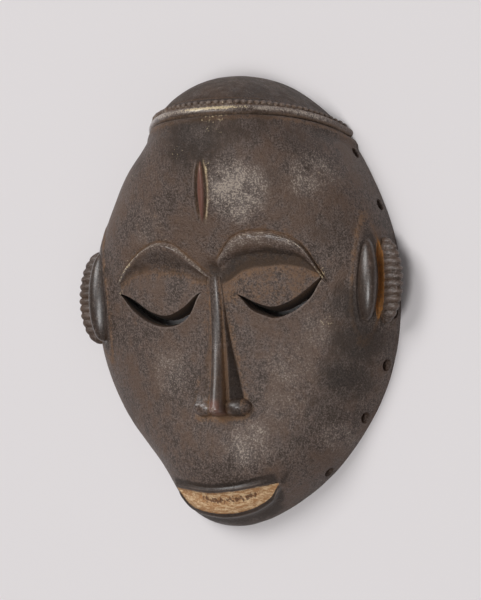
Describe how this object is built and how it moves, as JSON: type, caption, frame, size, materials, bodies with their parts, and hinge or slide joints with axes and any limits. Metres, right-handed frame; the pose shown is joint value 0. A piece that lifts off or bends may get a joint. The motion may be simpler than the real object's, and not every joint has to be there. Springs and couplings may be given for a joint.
{
  "type": "ritual face mask",
  "caption": "Carved wooden face mask with a beaded cap band, heavy brows, slit eyes, long nose, low crescent mouth and notched ears, hollow behind, lying on its rim.",
  "frame": {"origin": "middle of the rim's outline, on the flat surface that the mask lies on", "axes": "+Z out of the face, +Y from the chin to the crown, +X to the viewer's right"},
  "size_m": [0.1964, 0.25, 0.0721],
  "materials": {
    "dark_wood": "dark brown hardwood with a worn, semi-gloss handled patina, ochre dirt in the recesses and pale ochre lips"
  },
  "bodies": {
    "root": {"carved_mask": "dark_wood"}
  },
  "joints": []
}
